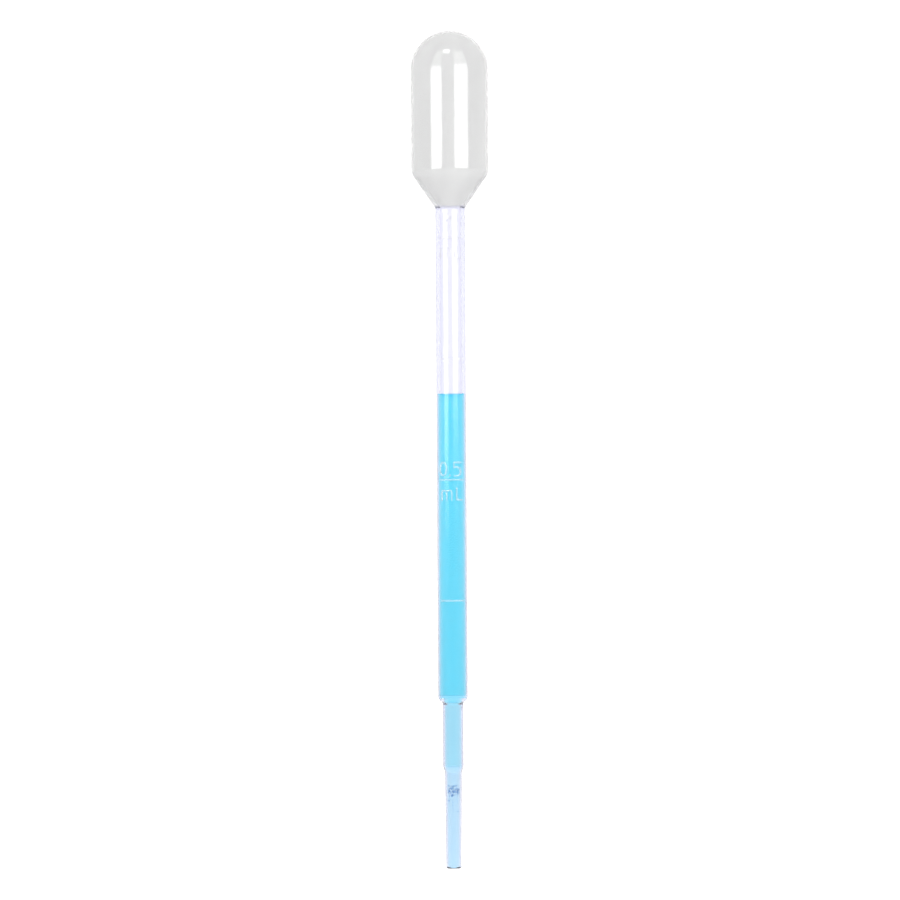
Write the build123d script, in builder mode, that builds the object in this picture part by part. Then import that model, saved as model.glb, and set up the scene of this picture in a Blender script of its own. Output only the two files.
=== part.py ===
from build123d import *
import os
from math import pi, sqrt

# A one-millilitre graduated transfer pipette: a soft translucent moulding with a squeeze bulb
# at the top, and a blue liquid drawn up into its stem.
#
# Lengths are in millimetres. The origin is on the axis, where the straight barrel meets the
# bulb's cone, which is where the pipette hangs in a rack. +Z points up to the bulb, and the
# graduations face -Y.

# Moulding, from the bulb down to the tip
BULB_RADIUS = 7.17
BULB_STRAIGHT = 18.28
BULB_WALL = 0.4
CORNER_HEIGHT = 1.3
CONE_TOP_RADIUS = 6.88
CONE_HEIGHT = 6.0
BARREL_RADIUS = 2.73
BARREL_LENGTH = 90.25
SHOULDER_HEIGHT = 1.2
STEM_RADIUS = 1.895
STEM_LENGTH = 11.83
STEP_HEIGHT = 1.1
TIP_TOP_RADIUS = 1.575
TIP_END_RADIUS = 1.435
TIP_LENGTH = 17.87
TIP_ROUNDING = 0.2

# Graduations: equal steps of volume fix the barrel's bore
LINE_NAMES = ("line_1_ml", "line_0_75_ml", "line_0_5_ml", "line_0_25_ml")
GRADUATION_PITCH = 22.36
GRADUATION_VOLUME = 250.0
TOP_LINE_DEPTH = 5.59
BORE_RADIUS = sqrt(GRADUATION_VOLUME / (pi * GRADUATION_PITCH))
STEM_BORE_RADIUS = 1.2
TIP_BORE_TOP_RADIUS = 1.0
TIP_BORE_END_RADIUS = 0.9

# Raised marks on the front of the barrel
RELIEF = 0.18
STROKE = 0.34
LINE_WIDTH = 4.3
NUMERAL_1_HEIGHT = 3.0
NUMERAL_0_5_HEIGHT = 2.4
UNIT_HEIGHT = 2.1
NUMERAL_GAP = 0.8
UNIT_GAP = 1.6

# Soft walls of the bulb that finger and thumb push in
PRESS_WIDTH = 8.0
PRESS_HEIGHT = 15.5
PRESS_GAP = 0.05

# Liquid, and the dye that has settled out of it in the tip
LIQUID_COLUMN = 54.9
MENISCUS_RIM = 1.1
MENISCUS_MIDDLE = 0.45
MENISCUS_CLEARANCE = 0.05
SEDIMENT_DEPTH = 2.3
SEDIMENT_HEIGHT = 2.3
SEDIMENT_THICKNESS = 0.14

# Heights of the joins between the zones
cone_top = CONE_HEIGHT
bulb_bottom = cone_top + CORNER_HEIGHT
dome_base = bulb_bottom + BULB_STRAIGHT
bulb_middle = (bulb_bottom + dome_base) / 2
barrel_bottom = -BARREL_LENGTH
stem_top = barrel_bottom - SHOULDER_HEIGHT
stem_bottom = stem_top - STEM_LENGTH
tip_top = stem_bottom - STEP_HEIGHT
tip_end = tip_top - TIP_LENGTH
surface = barrel_bottom + LIQUID_COLUMN
bulb_bore = BULB_RADIUS - BULB_WALL
cone_top_bore = CONE_TOP_RADIUS - BULB_WALL

os.makedirs("parts", exist_ok=True)


def save(piece, name):
    """Label a finished piece and write it as a STEP file of the same name."""
    piece.label = name
    export_step(piece, f"parts/{name}.step")


# ---------------------------------------------------------------- moulding

# Straight graduated barrel, with the rounded shoulder under it and the funnel in its bore
with BuildPart() as barrel:
    with BuildSketch(Plane.XZ):
        with BuildLine():
            Line((BORE_RADIUS, 0), (BARREL_RADIUS, 0))
            Line((BARREL_RADIUS, 0), (BARREL_RADIUS, barrel_bottom))
            EllipticalCenterArc(
                (STEM_RADIUS, barrel_bottom),
                BARREL_RADIUS - STEM_RADIUS,
                SHOULDER_HEIGHT,
                start_angle=270,
                arc_size=90,
            )
            Line((STEM_RADIUS, stem_top), (STEM_BORE_RADIUS, stem_top))
            Line((STEM_BORE_RADIUS, stem_top), (BORE_RADIUS, barrel_bottom))
            Line((BORE_RADIUS, barrel_bottom), (BORE_RADIUS, 0))
        make_face()
    revolve(axis=Axis.Z)
save(barrel.part, "barrel")

# Narrow stretch below the barrel
with BuildPart() as lower_stem:
    with BuildSketch(Plane.XY.offset(stem_bottom)):
        Circle(STEM_RADIUS)
        Circle(STEM_BORE_RADIUS, mode=Mode.SUBTRACT)
    extrude(amount=STEM_LENGTH)
save(lower_stem.part, "lower_stem")

# Tapered tip, with the small step at its top and a rounded mouth
with BuildPart() as tip:
    with BuildSketch(Plane.XZ):
        with BuildLine():
            Polyline(
                (STEM_BORE_RADIUS, stem_bottom),
                (STEM_RADIUS, stem_bottom),
                (TIP_TOP_RADIUS, tip_top),
                (TIP_END_RADIUS, tip_end),
                (TIP_BORE_END_RADIUS, tip_end),
                (TIP_BORE_TOP_RADIUS, tip_top),
                close=True,
            )
        make_face()
    revolve(axis=Axis.Z)
    mouth = tip.edges().filter_by(GeomType.CIRCLE).group_by(Axis.Z)[0]
    fillet(mouth.sort_by(SortBy.RADIUS)[-1], TIP_ROUNDING)
save(tip.part, "tip")

# Cone from the barrel out to the bulb, and the rounded corner above it
with BuildPart() as bulb_shoulder:
    with BuildSketch(Plane.XZ):
        with BuildLine():
            Line((BARREL_RADIUS, 0), (CONE_TOP_RADIUS, cone_top))
            TangentArc(
                (BULB_RADIUS, bulb_bottom), (CONE_TOP_RADIUS, cone_top), tangent=(0, -1)
            )
            Line((BULB_RADIUS, bulb_bottom), (bulb_bore, bulb_bottom))
            Line((bulb_bore, bulb_bottom), (cone_top_bore, cone_top))
            Line((cone_top_bore, cone_top), (BORE_RADIUS, 0))
            Line((BORE_RADIUS, 0), (BARREL_RADIUS, 0))
        make_face()
    revolve(axis=Axis.Z)
save(bulb_shoulder.part, "bulb_shoulder")

# Straight wall of the bulb, open on its left and right where the soft walls are
with BuildPart() as bulb_body:
    with BuildSketch(Plane.XY.offset(bulb_bottom)):
        Circle(BULB_RADIUS)
        Circle(bulb_bore, mode=Mode.SUBTRACT)
    extrude(amount=BULB_STRAIGHT)
    with BuildSketch(Plane.YZ):
        with Locations((0, bulb_middle)):
            Rectangle(PRESS_WIDTH + 2 * PRESS_GAP, PRESS_HEIGHT + 2 * PRESS_GAP)
    extrude(amount=2 * BULB_RADIUS, both=True, mode=Mode.SUBTRACT)
save(bulb_body.part, "bulb_body")

# Round top of the bulb
with BuildPart() as bulb_dome:
    with BuildSketch(Plane.XZ):
        with BuildLine():
            CenterArc((0, dome_base), BULB_RADIUS, 0, 90)
            Line((0, dome_base + BULB_RADIUS), (0, dome_base + bulb_bore))
            CenterArc((0, dome_base), bulb_bore, 0, 90)
            Line((bulb_bore, dome_base), (BULB_RADIUS, dome_base))
        make_face()
    revolve(axis=Axis.Z)
save(bulb_dome.part, "bulb_dome")

# Soft walls, one on each side, which move in towards the axis
for side, name in ((-1, "left_press_wall"), (1, "right_press_wall")):
    with BuildPart() as press_wall:
        with BuildSketch(Plane.XY.offset(bulb_bottom)):
            Circle(BULB_RADIUS)
            Circle(bulb_bore, mode=Mode.SUBTRACT)
        extrude(amount=BULB_STRAIGHT)
        with BuildSketch(Plane.YZ):
            with Locations((0, bulb_middle)):
                Rectangle(PRESS_WIDTH, PRESS_HEIGHT)
        extrude(amount=side * 2 * BULB_RADIUS, mode=Mode.INTERSECT)
    save(press_wall.part, name)


# ------------------------------------------------------------ raised marks


def stroke(*points):
    """A pen stroke of even width through the points, with round ends and corners."""
    with BuildSketch() as line:
        with BuildLine():
            Polyline(*points)
        trace(line_width=STROKE)
        with Locations(*points):
            Circle(STROKE / 2)
    return line.sketch


def figure_1(height):
    """An upright with a short flag at its top left."""
    with BuildSketch() as figure:
        add(stroke((-0.2 * height, 0.8 * height), (0, height), (0, 0)))
    return figure.sketch


def figure_0_5(height):
    """A nought, a point and a five, side by side."""
    width = 0.52 * height
    with BuildSketch() as figure:
        with Locations((-1.25 * width, height / 2)):
            Ellipse((width + STROKE) / 2, (height + STROKE) / 2)
            Ellipse((width - STROKE) / 2, (height - STROKE) / 2, mode=Mode.SUBTRACT)
        with Locations((-0.25 * width, 0)):
            Circle(0.6 * STROKE)
        left, right, waist = 0.35 * width, 1.35 * width, 0.6 * height
        add(stroke((right, height), (left, height), (left, waist)))
        with BuildLine():
            ThreePointArc((left, waist), (right, waist / 2), (left, 0))
        trace(line_width=STROKE)
    return figure.sketch


def unit_ml(height):
    """A small m of two arches, and a capital L."""
    arch, foot = 0.22 * height, 0.6 * height
    with BuildSketch() as unit:
        for left in (-4 * arch, -2 * arch):
            add(stroke((left, 0), (left, foot)))
            with BuildLine():
                ThreePointArc(
                    (left, foot), (left + arch, foot + arch), (left + 2 * arch, foot)
                )
            trace(line_width=STROKE)
        add(stroke((0, 0), (0, foot)))
        add(stroke((2 * arch, height), (2 * arch, 0), (4 * arch, 0)))
    return unit.sketch


def raised_line(width):
    """A level line."""
    with BuildSketch() as line:
        Rectangle(width, STROKE)
    return line.sketch


def raise_on_barrel(outline, height):
    """Wrap an outline round the front of the barrel, with its foot at the given height."""
    with BuildPart() as mark:
        with BuildSketch(Plane.XZ):
            with Locations((0, height)):
                add(outline)
        extrude(amount=2 * BARREL_RADIUS)
        with BuildSketch(Plane.XY.offset(barrel_bottom)):
            Circle(BARREL_RADIUS + RELIEF)
            Circle(BARREL_RADIUS, mode=Mode.SUBTRACT)
        extrude(amount=BARREL_LENGTH, mode=Mode.INTERSECT)
    return mark.part


line_heights = [
    -TOP_LINE_DEPTH - step * GRADUATION_PITCH for step in range(len(LINE_NAMES))
]
for name, height in zip(LINE_NAMES, line_heights):
    save(raise_on_barrel(raised_line(LINE_WIDTH), height), name)

one_line, half_line = line_heights[0], line_heights[2]
save(
    raise_on_barrel(figure_1(NUMERAL_1_HEIGHT), one_line + NUMERAL_GAP),
    "numeral_1",
)
save(
    raise_on_barrel(figure_0_5(NUMERAL_0_5_HEIGHT), half_line + NUMERAL_GAP),
    "numeral_0_5",
)
for name, line in (("unit_ml_upper", one_line), ("unit_ml_lower", half_line)):
    save(raise_on_barrel(unit_ml(UNIT_HEIGHT), line - UNIT_GAP - UNIT_HEIGHT), name)


# ---------------------------------------------------------------- contents

# Column of liquid that fills the barrel's bore up to the underside of the meniscus
with BuildPart() as liquid_in_barrel:
    with BuildSketch(Plane.XY.offset(barrel_bottom)):
        Circle(BORE_RADIUS)
    extrude(amount=LIQUID_COLUMN)
save(liquid_in_barrel.part, "liquid_in_barrel")

# Curved surface of the liquid, which climbs the wall a little
with BuildPart() as meniscus:
    with BuildSketch(Plane.XZ):
        with BuildLine():
            rim = BORE_RADIUS - MENISCUS_CLEARANCE
            Polyline(
                (0, surface + MENISCUS_MIDDLE),
                (0, surface),
                (rim, surface),
                (rim, surface + MENISCUS_RIM),
            )
            TangentArc(
                (0, surface + MENISCUS_MIDDLE),
                (rim, surface + MENISCUS_RIM),
                tangent=(1, 0),
            )
        make_face()
    revolve(axis=Axis.Z)
save(meniscus.part, "meniscus")

# Liquid in the funnel and in the narrow bore under it
with BuildPart() as liquid_in_lower_stem:
    with BuildSketch(Plane.XZ):
        with BuildLine():
            Polyline(
                (0, stem_bottom),
                (STEM_BORE_RADIUS, stem_bottom),
                (STEM_BORE_RADIUS, stem_top),
                (BORE_RADIUS, barrel_bottom),
                (0, barrel_bottom),
                close=True,
            )
        make_face()
    revolve(axis=Axis.Z)
save(liquid_in_lower_stem.part, "liquid_in_lower_stem")


def tip_bore(height):
    """Radius of the tapered bore of the tip at a height."""
    share = (height - tip_end) / TIP_LENGTH
    return TIP_BORE_END_RADIUS + share * (TIP_BORE_TOP_RADIUS - TIP_BORE_END_RADIUS)


# Crust of dye that clings to the wall of the bore near the top of the tip
sediment_top = tip_top - SEDIMENT_DEPTH
sediment_bottom = sediment_top - SEDIMENT_HEIGHT
with BuildPart() as dye_sediment:
    with BuildSketch(Plane.XZ):
        with BuildLine():
            Polyline(
                (tip_bore(sediment_bottom), sediment_bottom),
                (tip_bore(sediment_top), sediment_top),
                (tip_bore(sediment_top) - SEDIMENT_THICKNESS, sediment_top),
                (tip_bore(sediment_bottom) - SEDIMENT_THICKNESS, sediment_bottom),
                close=True,
            )
        make_face()
    revolve(axis=Axis.Z)
save(dye_sediment.part, "dye_sediment")

# Liquid in the tip, which runs through the crust of dye and ends at the mouth
with BuildPart() as liquid_in_tip:
    with BuildSketch(Plane.XZ):
        with BuildLine():
            Polyline(
                (0, tip_end),
                (TIP_BORE_END_RADIUS, tip_end),
                (TIP_BORE_TOP_RADIUS, tip_top),
                (STEM_BORE_RADIUS, stem_bottom),
                (0, stem_bottom),
                close=True,
            )
        make_face()
    revolve(axis=Axis.Z)
    add(dye_sediment.part, mode=Mode.SUBTRACT)
save(liquid_in_tip.part, "liquid_in_tip")
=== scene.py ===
import math
import random

import bmesh
import bpy
import numpy as np
from mathutils import Matrix, Vector, noise


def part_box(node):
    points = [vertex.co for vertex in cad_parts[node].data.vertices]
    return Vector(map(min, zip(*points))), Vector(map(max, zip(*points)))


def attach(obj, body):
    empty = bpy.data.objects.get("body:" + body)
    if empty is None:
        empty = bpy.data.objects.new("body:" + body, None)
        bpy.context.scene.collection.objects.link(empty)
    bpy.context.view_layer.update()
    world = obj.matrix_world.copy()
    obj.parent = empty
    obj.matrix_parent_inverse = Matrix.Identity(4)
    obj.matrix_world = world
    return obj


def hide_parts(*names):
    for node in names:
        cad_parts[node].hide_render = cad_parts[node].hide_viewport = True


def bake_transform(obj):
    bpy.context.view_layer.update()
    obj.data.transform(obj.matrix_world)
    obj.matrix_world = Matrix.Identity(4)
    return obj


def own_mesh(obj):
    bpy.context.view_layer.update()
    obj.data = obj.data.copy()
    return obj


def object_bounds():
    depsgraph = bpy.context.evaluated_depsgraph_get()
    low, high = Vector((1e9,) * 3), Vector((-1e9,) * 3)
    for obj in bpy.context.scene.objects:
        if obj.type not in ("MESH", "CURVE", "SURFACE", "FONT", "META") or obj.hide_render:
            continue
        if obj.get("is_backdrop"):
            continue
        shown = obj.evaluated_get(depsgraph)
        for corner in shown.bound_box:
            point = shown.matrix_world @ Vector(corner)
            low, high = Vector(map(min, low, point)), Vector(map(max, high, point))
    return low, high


# The pipette's visual model, in metres and in the CAD frame: the origin is on the axis where
# the barrel meets the bulb's cone, +Z points up to the bulb, the graduations face -Y.

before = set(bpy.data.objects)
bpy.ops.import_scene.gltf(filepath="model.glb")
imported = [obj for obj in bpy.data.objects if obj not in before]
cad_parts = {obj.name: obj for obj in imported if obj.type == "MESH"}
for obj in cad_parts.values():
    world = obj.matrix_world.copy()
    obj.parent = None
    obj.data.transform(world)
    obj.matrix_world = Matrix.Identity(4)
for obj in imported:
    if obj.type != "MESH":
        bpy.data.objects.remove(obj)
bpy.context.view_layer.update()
MM = 0.001


# ------------------------------------------------------------------ sizes from the frame


def radius(node):
    """Half a node's width across the pipette."""
    low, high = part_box(node)
    return (high.x - low.x) / 2


def top(node):
    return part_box(node)[1].z


def bottom(node):
    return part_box(node)[0].z


BULB_RADIUS = radius("bulb_dome")
BULB_TOP = top("bulb_dome")
DOME_BASE = bottom("bulb_dome")
BARREL_RADIUS = radius("barrel")
BARREL_FOOT = bottom("liquid_in_barrel")
STEM_RADIUS = radius("lower_stem")
STEM_FOOT = bottom("lower_stem")
TIP_END = bottom("tip")
SURFACE = top("liquid_in_barrel")
BORE = radius("liquid_in_barrel")

# Sizes that aren't read from a box
BULB_WALL = 0.4 * MM
CONE_RADIUS, CONE_TOP = 6.88 * MM, 6.0 * MM  # the bulb's radius at the top of its cone
STEP = 1.1 * MM  # the height of the taper from the stem to the tip
TIP_TOP = STEM_FOOT - STEP
TIP_TOP_RADIUS, TIP_END_RADIUS = 1.575 * MM, 1.435 * MM
STEM_BORE, TIP_BORE, MOUTH = 1.2 * MM, 1.0 * MM, 0.9 * MM
LIP, LIP_DEPTH = 1.08 * MM, 0.35 * MM  # the flare inside the mouth
SHOULDER = 1.2 * MM  # the height of the rounding under the barrel

# The bore narrows from the barrel's to the stem's, and again from the stem's to the tip's. The
# ROUND sizes are the radii of its corners.
FUNNEL_TOP, FUNNEL_END = BARREL_FOOT - 0.35 * MM, BARREL_FOOT - 1.75 * MM
FUNNEL_TOP_ROUND, FUNNEL_END_ROUND = 0.6 * MM, 1.0 * MM
STEM_BORE_END = STEM_FOOT - 0.2 * MM
TIP_BORE_ROUND, MOUTH_ROUND = 0.6 * MM, 0.3 * MM

STEM_COLUMNS, HALF_COLUMNS = 128, 96  # faces round the stem, and round half of the bulb
SKIN_SPACING, LIQUID_SPACING = 0.6 * MM, 0.4 * MM  # the longest face along the axis


# ------------------------------------------------------------------ outlines


def fillet(before, corner, after, size):
    """Points on an arc of that radius round a corner between two straight runs."""
    back, ahead = (before - corner).normalized(), (after - corner).normalized()
    half = back.angle(ahead) / 2
    centre = corner + (back + ahead).normalized() * size / math.sin(half)
    start = corner + back * size / math.tan(half) - centre
    turn = math.pi - 2 * half
    if back.x * ahead.y - back.y * ahead.x > 0:
        turn = -turn
    steps = max(4, round(abs(math.degrees(turn)) / 5))
    return [centre + Matrix.Rotation(turn * n / steps, 2) @ start for n in range(steps + 1)]


def outline(*corners):
    """Points along straight runs between (radius, height, rounding) corners."""
    at = [Vector(corner[:2]) for corner in corners]
    points = []
    for n, corner in enumerate(corners):
        if corner[2]:
            points += fillet(at[n - 1], at[n], at[n + 1], corner[2])
        else:
            points.append(at[n])
    return points


def arc(centre, across, along, start, end, steps=40):
    """Points on an arc of an ellipse, with its angles in degrees from level."""
    angles = [math.radians(start + (end - start) * n / steps) for n in range(steps + 1)]
    return [Vector(centre) + Vector((across * math.cos(a), along * math.sin(a))) for a in angles]


def divided(points, spacing):
    """The same path with its long runs divided, and its doubled points dropped."""
    path = [points[0]]
    for point in points[1:]:
        run = point - path[-1]
        steps = math.ceil(run.length / spacing)
        if run.length > 1e-8:
            start = path[-1]
            path += [start + run * n / steps for n in range(1, steps + 1)]
    return path


def facing(path):
    """The path, and the direction (out, up) that the surface faces at each of its points.

    A sharp corner is given as two points in one place, one for each side's direction."""
    runs = [(b - a).normalized() for a, b in zip(path, path[1:])]
    points, directions = [path[0]], [runs[0]]
    for before, after, point in zip(runs, runs[1:], path[1:]):
        if before.angle(after) > math.radians(25):
            points += [point, point]
            directions += [before, after]
        else:
            points.append(point)
            directions.append((before + after).normalized())
    points.append(path[-1])
    directions.append(runs[-1])
    return points, [Vector((-way.y, way.x)) for way in directions]


def turned(name, path, faces_out, start=0, sweep=360, columns=STEM_COLUMNS):
    """A surface swept about the axis, from start through sweep degrees."""
    whole = sweep == 360
    count = columns if whole else columns + 1
    angles = [math.radians(start + sweep * n / columns) for n in range(count)]
    points, normals, rows = [], [], []
    for (r, z), (out, up) in zip(path, faces_out):
        if r < 1e-7:
            rows.append([len(points)] * count)
            points.append((0, 0, z))
            normals.append((0, 0, math.copysign(1, up)))
            continue
        rows.append(range(len(points), len(points) + count))
        points += [(r * math.cos(a), r * math.sin(a), z) for a in angles]
        normals += [(out * math.cos(a), out * math.sin(a), up) for a in angles]
    faces = []
    for step, (here, below) in enumerate(zip(rows, rows[1:])):
        if (path[step + 1] - path[step]).length < 1e-8:
            continue
        for n in range(columns):
            after = (n + 1) % count
            ring = (here[n], below[n], below[after], here[after])
            faces.append(tuple(dict.fromkeys(ring)))
    mesh = bpy.data.meshes.new(name)
    mesh.from_pydata(points, [], faces)
    mesh.shade_smooth()
    mesh.normals_split_custom_set_from_vertices(normals)
    piece = bpy.data.objects.new(name, mesh)
    bpy.context.collection.objects.link(piece)
    return piece


def joined(pieces):
    """The first piece, with the others made part of it."""
    with bpy.context.temp_override(
        active_object=pieces[0], object=pieces[0], selected_editable_objects=pieces
    ):
        bpy.ops.object.join()
    return pieces[0]


# ------------------------------------------------------------------ materials


def material(name):
    """A new material, with its nodes, its links and its Principled shader."""
    made = bpy.data.materials.new(name)
    made.use_nodes = True
    nodes, links = made.node_tree.nodes, made.node_tree.links
    return made, nodes, links, nodes["Principled BSDF"]


def noisy(nodes, links, scale, stretch=(1, 1, 1), detail=3.0):
    """Noise fixed to the object, with its pattern drawn out along an axis by stretch below 1."""
    place = nodes.new("ShaderNodeTexCoord")
    mapping = nodes.new("ShaderNodeMapping")
    mapping.inputs["Scale"].default_value = stretch
    texture = nodes.new("ShaderNodeTexNoise")
    texture.inputs["Scale"].default_value = scale
    texture.inputs["Detail"].default_value = detail
    links.new(place.outputs["Object"], mapping.inputs["Vector"])
    links.new(mapping.outputs["Vector"], texture.inputs["Vector"])
    return texture.outputs["Fac"]


def ramp(nodes, links, value, low, high, dark, light):
    """A colour between dark and light as value goes from low to high."""
    made = nodes.new("ShaderNodeValToRGB")
    made.color_ramp.elements[0].position, made.color_ramp.elements[1].position = low, high
    made.color_ramp.elements[0].color, made.color_ramp.elements[1].color = dark, light
    links.new(value, made.inputs["Fac"])
    return made.outputs["Color"]


def bump(nodes, links, shader, height, strength, distance):
    made = nodes.new("ShaderNodeBump")
    made.inputs["Strength"].default_value = strength
    made.inputs["Distance"].default_value = distance
    links.new(height, made.inputs["Height"])
    links.new(made.outputs["Normal"], shader.inputs["Normal"])


def between(nodes, links, value, start, end):
    """A number that goes from start to end as value goes from 0 to 1, and its node."""
    made = nodes.new("ShaderNodeMapRange")
    made.inputs["To Min"].default_value = start
    made.inputs["To Max"].default_value = end
    links.new(value, made.inputs["Value"])
    return made.outputs["Result"], made


def absorb(nodes, links, colour, density):
    """Makes light take on a colour with the distance that it goes inside the piece."""
    depth = nodes.new("ShaderNodeVolumeAbsorption")
    depth.inputs["Color"].default_value = colour + (1,)
    depth.inputs["Density"].default_value = density
    links.new(depth.outputs["Volume"], nodes["Material Output"].inputs["Volume"])


def open_joins(nodes, links, shader, ior):
    """Light isn't bent on the faces marked as joins, where a piece runs on into the next."""
    shader.inputs["IOR"].default_value = ior
    join = nodes.new("ShaderNodeAttribute")
    join.attribute_name = "join"
    bend, _ = between(nodes, links, join.outputs["Fac"], ior, 1.0)
    links.new(bend, shader.inputs["IOR"])


LEVEL = 0.3  # a face whose normal is steeper than this looks up or down


def mark_joins(mesh, *ways):
    """Marks the faces that look up or down as joins with the piece above or below."""
    slopes = [face.normal.z for face in mesh.polygons]
    joins = [(z > LEVEL and "up" in ways) or (z < -LEVEL and "down" in ways) for z in slopes]
    mesh.attributes.new("join", "FLOAT", "FACE").data.foreach_set("value", np.float32(joins))


PLASTIC_IOR, WATER_IOR = 1.5, 1.33


def soft_plastic(name, dark, light, transmission, roughness, orange_peel):
    """Natural polyethylene: milky, with faint flow marks drawn out along the moulding."""
    made, nodes, links, shader = material(name)
    flow = noisy(nodes, links, 420, (1, 1, 0.12))
    links.new(
        ramp(nodes, links, flow, 0.3, 0.7, dark + (1,), light + (1,)),
        shader.inputs["Base Color"],
    )
    shader.inputs["IOR"].default_value = PLASTIC_IOR
    shader.inputs["Roughness"].default_value = roughness
    shader.inputs["Transmission Weight"].default_value = transmission
    skin = noisy(nodes, links, 900, (1, 1, 0.35))
    bump(nodes, links, shader, skin, 0.25, orange_peel)
    return made


# The bulb gets a greyer copy of the moulding's plastic: painted shade, darker than the stem under
# the same light.
bulb_plastic_painted_shade = soft_plastic(
    "polyethylene_bulb_painted_shade",
    dark=(0.785, 0.785, 0.785),
    light=(0.825, 0.825, 0.825),
    transmission=0.89,
    roughness=0.13,
    orange_peel=0.006 * MM,
)
stem_plastic = soft_plastic(
    "polyethylene_stem",
    dark=(0.92, 0.915, 0.94),
    light=(0.95, 0.945, 0.97),
    transmission=0.97,
    roughness=0.13,
    orange_peel=0.003 * MM,
)
# The raised marks get a whiter, milkier copy of the moulding's plastic: painted highlight, so that
# they read as bright dashes.
relief_plastic_painted_light = soft_plastic(
    "polyethylene_relief_painted_light",
    dark=(0.95, 0.95, 0.96),
    light=(0.99, 0.99, 1.0),
    transmission=0.86,
    roughness=0.08,
    orange_peel=0.003 * MM,
)
nodes, links = stem_plastic.node_tree.nodes, stem_plastic.node_tree.links
open_joins(nodes, links, nodes["Principled BSDF"], PLASTIC_IOR)
absorb(nodes, links, (0.22, 0.26, 0.8), 125)


def blue_liquid(name, density, green=0.95):
    """Dyed water: clear, and bluer the further that light goes through it.

    Less green makes it a deeper blue."""
    made, nodes, links, shader = material(name)
    swirl = noisy(nodes, links, 260, (1, 1, 0.3))
    links.new(
        ramp(nodes, links, swirl, 0.3, 0.7, (0.97, 0.99, 1, 1), (1, 1, 1, 1)),
        shader.inputs["Base Color"],
    )
    shader.inputs["Roughness"].default_value = 0.0
    shader.inputs["Transmission Weight"].default_value = 1.0
    absorb(nodes, links, (0.03, green, 1.0), density)
    open_joins(nodes, links, shader, WATER_IOR)
    return made


liquid = blue_liquid("blue_liquid", 780)
pale_liquid = blue_liquid("blue_liquid_in_stem", 450, 0.9)
palest_liquid = blue_liquid("blue_liquid_in_tip", 350, 0.8)
# A denser copy of the same liquid for the surface piece: painted shade, a deeper blue at the
# meniscus.
surface_liquid_painted_shade = blue_liquid("blue_liquid_painted_shade_at_surface", 1700, 0.95)


def settled_dye_painted_glow():
    """Wet grains of dye, some lighter than others, with a faint painted blue glow."""
    made, nodes, links, shader = material("settled_dye_painted_glow")
    grain = noisy(nodes, links, 2600, detail=4.0)
    links.new(
        ramp(nodes, links, grain, 0.35, 0.65, (0.0, 0.2, 0.6, 1), (0.0, 0.5, 0.95, 1)),
        shader.inputs["Base Color"],
    )
    shader.inputs["Roughness"].default_value = 0.4
    shader.inputs["Transmission Weight"].default_value = 0.35
    shader.inputs["IOR"].default_value = 1.06
    # Painted glow: the grains give off a faint blue light of their own.
    shader.inputs["Emission Color"].default_value = (0.0, 0.4, 1.0, 1)
    shader.inputs["Emission Strength"].default_value = 0.12
    bump(nodes, links, shader, grain, 0.5, 0.00002)
    return made


dye = settled_dye_painted_glow()


def finished(piece, look):
    """The piece, with its material."""
    piece.data.materials.clear()
    piece.data.materials.append(look)
    return piece


# ------------------------------------------------------------------ the moulding's skin
# The outside runs from the top of the bulb to the mouth, and the inside back up to the top. Both
# are cut at the neck, into the stem and the bulb. The bulb is made as a left and a right half.

bulb_bore = BULB_RADIUS - BULB_WALL
cone_slope = (CONE_RADIUS - BARREL_RADIUS) / CONE_TOP
bore_slope = (CONE_RADIUS - BULB_WALL - BORE) / CONE_TOP
outside = (
    arc((0, DOME_BASE), BULB_RADIUS, BULB_TOP - DOME_BASE, 90, 0)
    + outline(
        (BULB_RADIUS, DOME_BASE, 0),
        (BULB_RADIUS, (BULB_RADIUS - BARREL_RADIUS) / cone_slope, 3.0 * MM),
        (BARREL_RADIUS, 0, 1.2 * MM),
        (BARREL_RADIUS, BARREL_FOOT, 0),
    )
    + arc((STEM_RADIUS, BARREL_FOOT), BARREL_RADIUS - STEM_RADIUS, SHOULDER, 0, -62, 12)
    + outline(
        (STEM_RADIUS + 0.39 * MM, BARREL_FOOT - 0.883 * SHOULDER, 0),  # where the arc ends
        (STEM_RADIUS, BARREL_FOOT - 1.12 * SHOULDER, 0.3 * MM),
        (STEM_RADIUS, STEM_FOOT, 0.3 * MM),
        (TIP_TOP_RADIUS, TIP_TOP, 0.8 * MM),
        (TIP_END_RADIUS, TIP_END, 0.33 * MM),
        (LIP, TIP_END, 0),
    )[1:]
)
inside = (
    outline(
        (LIP, TIP_END, 0),
        (MOUTH, TIP_END + LIP_DEPTH, MOUTH_ROUND),
        (TIP_BORE, TIP_TOP, TIP_BORE_ROUND),
        (STEM_BORE, STEM_BORE_END, 0),
        (STEM_BORE, FUNNEL_END, FUNNEL_END_ROUND),
        (BORE, FUNNEL_TOP, FUNNEL_TOP_ROUND),
        (BORE, 0, 1.2 * MM),
        (bulb_bore, (bulb_bore - BORE) / bore_slope, 2.6 * MM),
        (bulb_bore, DOME_BASE, 0),
    )
    + arc((0, DOME_BASE), bulb_bore, BULB_TOP - BULB_WALL - DOME_BASE, 0, 90)
)

outside, out_facing = facing(divided(outside, SKIN_SPACING))
inside, in_facing = facing(divided(inside, SKIN_SPACING))


def first_below(path, height):
    """The place in the path of its first point below a height."""
    return next(n for n, point in enumerate(path) if point.y < height)


NECK = 0.35 * MM  # the height where the bulb and the stem meet
cut_out = first_below(outside, NECK)
cut_in = len(inside) - 1 - first_below(inside[::-1], NECK)

neck = turned("stem_neck", *facing([inside[cut_in], outside[cut_out]]))
mark_joins(neck.data, "up")
stem = joined(
    [
        turned("stem", outside[cut_out:], out_facing[cut_out:]),
        turned("stem_bore", inside[: cut_in + 1], in_facing[: cut_in + 1]),
        neck,
    ]
)
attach(finished(stem, stem_plastic), "root")
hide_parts("barrel", "lower_stem", "tip")
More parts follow.
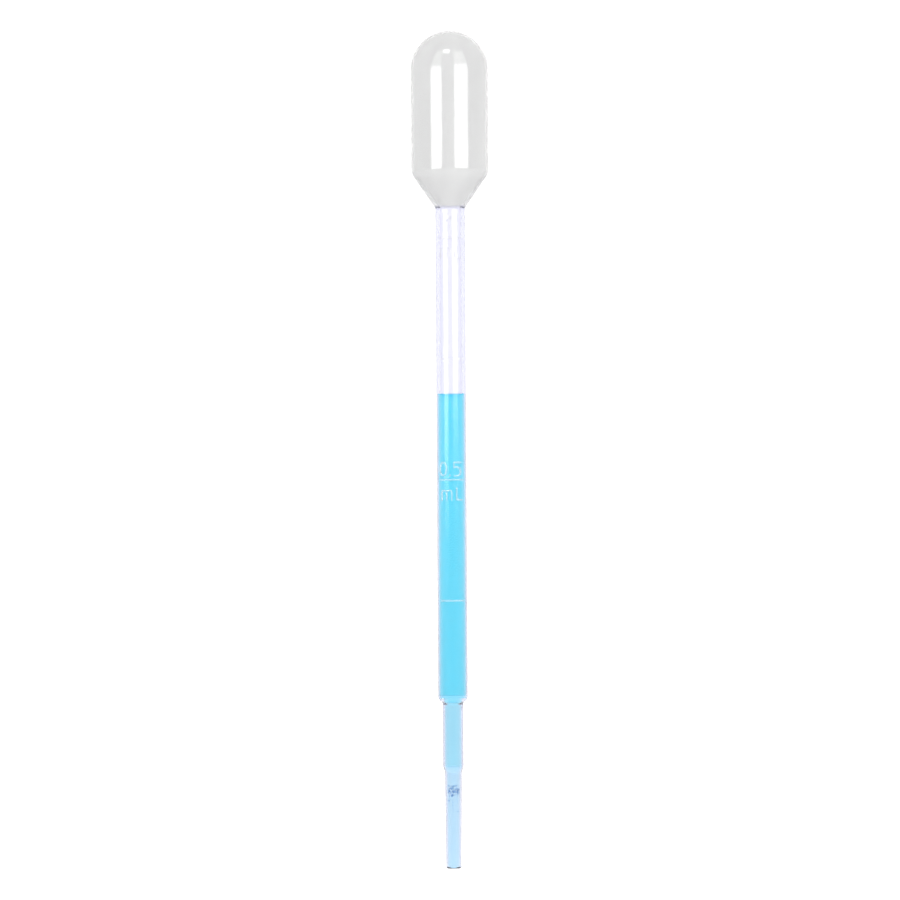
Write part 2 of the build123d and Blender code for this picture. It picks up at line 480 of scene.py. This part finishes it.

for side, way, start in (("left", -1, 90), ("right", 1, -90)):
    shell = turned(
        f"bulb_{side}", outside[: cut_out + 1], out_facing[: cut_out + 1], start, 180, HALF_COLUMNS
    )
    bore = turned(
        f"bulb_{side}_bore", inside[cut_in:], in_facing[cut_in:], start, 180, HALF_COLUMNS
    )
    half = finished(joined([shell, bore]), bulb_plastic_painted_shade)
    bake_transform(half)
    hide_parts(f"{side}_press_wall", "bulb_shoulder", "bulb_body", "bulb_dome")


# ------------------------------------------------------------------ raised marks


def softened(name):
    """A raised mark with the rounded edges that a mould gives it."""
    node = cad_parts[name]
    mesh = node.data.copy()
    piece = bpy.data.objects.new(f"{name}_relief", mesh)
    bpy.context.collection.objects.link(piece)
    remesh = piece.modifiers.new("remesh", "REMESH")
    remesh.mode, remesh.voxel_size = "VOXEL", 0.03 * MM
    smooth = piece.modifiers.new("smooth", "SMOOTH")
    smooth.factor, smooth.iterations = 0.5, 14
    view = bpy.context.evaluated_depsgraph_get()
    shaped = bpy.data.meshes.new_from_object(piece.evaluated_get(view))
    piece.modifiers.clear()
    piece.data = shaped
    shaped.shade_smooth()
    return piece


MARKS = (
    "line_1_ml",
    "line_0_75_ml",
    "line_0_5_ml",
    "line_0_25_ml",
    "numeral_1",
    "numeral_0_5",
    "unit_ml_upper",
    "unit_ml_lower",
)
for name in MARKS:
    mark = softened(name)
    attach(finished(mark, relief_plastic_painted_light), "root")
    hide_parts(name)


# ------------------------------------------------------------------ contents
# Each liquid piece runs a little way into the wall and into the piece beside it, so that no
# air shows between them.

WETTING = 0.012 * MM
OVERLAP = 0.02 * MM


def contents(name, look, body, path, joins, *nodes):
    """A piece of the liquid, from its outline and the ways, up or down, to those it joins."""
    piece = turned(name, *facing(divided(path, LIQUID_SPACING)))
    mark_joins(finished(piece, look).data, *joins)
    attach(piece, body)
    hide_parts(*nodes)
    return piece


rim = BORE + WETTING


def bowl(low, high, power):
    """Points from the axis out to the wall on a curved surface, between heights over SURFACE."""
    shares = [n / 30 for n in range(31)]
    return [Vector((rim * t, SURFACE + low + (high - low) * t**power)) for t in shares]


# The surface piece is nearly flat on top and bowed below, and rests in the column's hollow top.
# These are heights over SURFACE.
MENISCUS_MIDDLE, MENISCUS_RIM = 0.92 * MM, 0.98 * MM
LENS_MIDDLE, LENS_EDGE = 0.25 * MM, 0.9 * MM
column = contents(
    "liquid_column",
    liquid,
    "root",
    bowl(LENS_MIDDLE + OVERLAP, LENS_EDGE + OVERLAP, 2.2)
    + outline((rim, BARREL_FOOT, 0), (0, BARREL_FOOT, 0)),
    ("up", "down"),
    "liquid_in_barrel",
)
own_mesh(column)

# The surface piece holds the denser liquid, painted shade that deepens the blue under the
# meniscus.
contents(
    "liquid_surface_cap",
    surface_liquid_painted_shade,
    "liquid_surface",
    bowl(MENISCUS_MIDDLE, MENISCUS_RIM, 4) + bowl(LENS_MIDDLE, LENS_EDGE, 2.2)[::-1],
    ("down",),
    "meniscus",
)
contents(
    "liquid_in_stem",
    pale_liquid,
    "root",
    outline(
        (0, BARREL_FOOT + OVERLAP, 0),
        (rim, BARREL_FOOT + OVERLAP, 0),
        (rim, FUNNEL_TOP, FUNNEL_TOP_ROUND),
        (STEM_BORE + WETTING, FUNNEL_END, FUNNEL_END_ROUND),
        (STEM_BORE + WETTING, STEM_FOOT, 0),
        (0, STEM_FOOT, 0),
    ),
    ("up", "down"),
    "liquid_in_lower_stem",
)
contents(
    "liquid_to_mouth",
    palest_liquid,
    "root",
    outline(
        (0, STEM_FOOT + OVERLAP, 0),
        (STEM_BORE + WETTING, STEM_FOOT + OVERLAP, 0),
        (STEM_BORE + WETTING, STEM_BORE_END, 0),
        (TIP_BORE + WETTING, TIP_TOP, TIP_BORE_ROUND),
        (MOUTH + WETTING, TIP_END + LIP_DEPTH, MOUTH_ROUND),
        (LIP + WETTING, TIP_END + OVERLAP, 0),
        (0, TIP_END + OVERLAP, 0),
    ),
    ("up",),
    "liquid_in_tip",
)


def grains(name, count, middle, spread, size, seed):
    """Small uneven grains of settled dye, crowded towards a point on the axis."""
    chance = random.Random(seed)
    work = bmesh.new()
    bmesh.ops.create_icosphere(work, subdivisions=2, radius=1)
    shape = [v.co.copy() for v in work.verts]
    sides = [[v.index for v in face.verts] for face in work.faces]
    work.free()
    points, faces = [], []
    for _ in range(count):
        across = (0.95 * TIP_BORE - 1.6 * size) * chance.random() ** 0.35
        turn = chance.uniform(0, 2 * math.pi)
        drift = max(-2, min(2, chance.gauss(0, 1)))
        place = Vector((across * math.cos(turn), across * math.sin(turn), middle + spread * drift))
        grain = size * chance.uniform(0.5, 1.2)
        form = Vector([chance.uniform(0.7, 1.4) for _ in range(3)])
        shift = Vector((chance.uniform(0, 50), 0, 0))
        first = len(points)
        for v in shape:
            swell = grain * (1 + 0.45 * noise.noise(v * 1.6 + shift))
            points.append(place + v * form * swell)
        faces += [[first + n for n in side] for side in sides]
    mesh = bpy.data.meshes.new(name)
    mesh.from_pydata(points, [], faces)
    mesh.shade_smooth()
    piece = bpy.data.objects.new(name, mesh)
    bpy.context.collection.objects.link(piece)
    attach(finished(piece, dye), "root")
    return piece


dye_low, dye_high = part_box("dye_sediment")
dye_middle = (dye_low.z + dye_high.z) / 2
crust = grains("dye_crust", 150, dye_middle, 0.48 * MM, 0.068 * MM, 5)
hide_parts("dye_sediment")
grains("dye_specks", 16, dye_low.z - 0.9 * MM, 0.9 * MM, 0.085 * MM, 8)


# ------------------------------------------------------------------ studio

FLOOR_RADIUS, FLOOR_SIDES = 1.6, 96
floor_mesh = bpy.data.meshes.new("floor")
angles = np.linspace(0, 2 * math.pi, FLOOR_SIDES + 1)[:-1]
across = [(FLOOR_RADIUS * math.cos(a), FLOOR_RADIUS * math.sin(a)) for a in angles]
ring = [Vector((x, y, TIP_END - 0.02 * MM)) for x, y in across]
floor_mesh.from_pydata(ring, [], [list(range(FLOOR_SIDES))])
floor = bpy.data.objects.new("floor", floor_mesh)
bpy.context.collection.objects.link(floor)
paper, nodes, links, shader = material("paper")
shader.inputs["Base Color"].default_value = (0.4, 0.4, 0.41, 1)
shader.inputs["Roughness"].default_value = 0.9
shader.inputs["Specular IOR Level"].default_value = 0.0
shader.inputs["Emission Color"].default_value = (1, 1, 1, 1)
seen = nodes.new("ShaderNodeLightPath")
glow, _ = between(nodes, links, seen.outputs["Is Camera Ray"], 0.68, 0.95)
links.new(glow, shader.inputs["Emission Strength"])
floor_mesh.materials.append(paper)
floor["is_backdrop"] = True

world = bpy.data.worlds.new("studio")
bpy.context.scene.world = world
world.use_nodes = True
nodes, links = world.node_tree.nodes, world.node_tree.links
sky = nodes["Background"]
sky.inputs["Color"].default_value = (1, 1, 1, 1)
direction = nodes.new("ShaderNodeTexCoord")
split = nodes.new("ShaderNodeSeparateXYZ")
links.new(direction.outputs["Generated"], split.inputs["Vector"])
# Dimmer in front of the pipette than behind it, where the camera sees plain white
brightness, fade = between(nodes, links, split.outputs["Y"], 0.6, 1.32)
fade.interpolation_type = "SMOOTHSTEP"
fade.inputs["From Min"].default_value = -0.55
fade.inputs["From Max"].default_value = 0.95
seen = nodes.new("ShaderNodeLightPath")
white = nodes.new("ShaderNodeMix")
white.data_type = "FLOAT"
white.inputs["B"].default_value = 1.15
links.new(seen.outputs["Is Camera Ray"], white.inputs["Factor"])
links.new(brightness, white.inputs["A"])
links.new(white.outputs["Result"], sky.inputs["Strength"])


def softbox(name, azimuth, width, low, high, radiance, elevation=0):
    """A soft light half a metre away, at that azimuth from the front. It stands between two
    heights, measured square to its own direction, and turns down from its elevation."""
    distance = 0.5
    size, tall = 2 * distance * math.tan(math.radians(width / 2)), high - low
    light = bpy.data.lights.new(name, "AREA")
    light.shape, light.size, light.size_y = "RECTANGLE", size, tall
    light.energy = radiance * math.pi * size * tall
    place = bpy.data.objects.new(name, light)
    turn = Matrix.Rotation(math.radians(azimuth), 4, "Z")
    turn @= Matrix.Rotation(math.radians(90 - elevation), 4, "X")
    place.matrix_world = turn @ Matrix.Translation((0, (low + high) / 2, distance))
    place.visible_camera = place.visible_transmission = False
    bpy.context.collection.objects.link(place)
    return place


# azimuth and width in degrees, the two heights in metres, radiance, elevation in degrees
softbox("softbox_left", -40, 34, -0.05, 0.1, 7.2)
softbox("softbox_right", 35, 42, -0.035, 0.16, 6.8)
softbox("softbox_left_upper", -40, 30, 0.1, 0.65, 1.8)
softbox("softbox_right_upper", 35, 38, 0.16, 0.7, 2.4)
softbox("small_light", -12, 16, -0.055, 0.055, 9.0, 56)

camera = bpy.data.objects.new("camera", bpy.data.cameras.new("camera"))
bpy.context.collection.objects.link(camera)
bpy.context.scene.camera = camera
DISTANCE, FIELD, SENSOR = 2.0, 166.56 * MM, 36
camera.data.sensor_width = SENSOR
camera.data.lens = SENSOR * DISTANCE / FIELD
camera.data.clip_start, camera.data.clip_end = 0.05, 20
low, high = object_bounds()
camera.location = (-0.28 * MM, -DISTANCE, (low.z + high.z) / 2 - 0.05 * MM)
camera.rotation_euler = (math.radians(90), 0, 0)
camera.rotation_euler.rotate_axis("Z", math.radians(-0.34))  # the photo's slight tilt

scene = bpy.context.scene
scene.view_settings.view_transform = "Standard"
scene.cycles.max_bounces = 24
scene.cycles.transmission_bounces = 24
scene.cycles.transparent_max_bounces = 16

low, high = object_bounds()
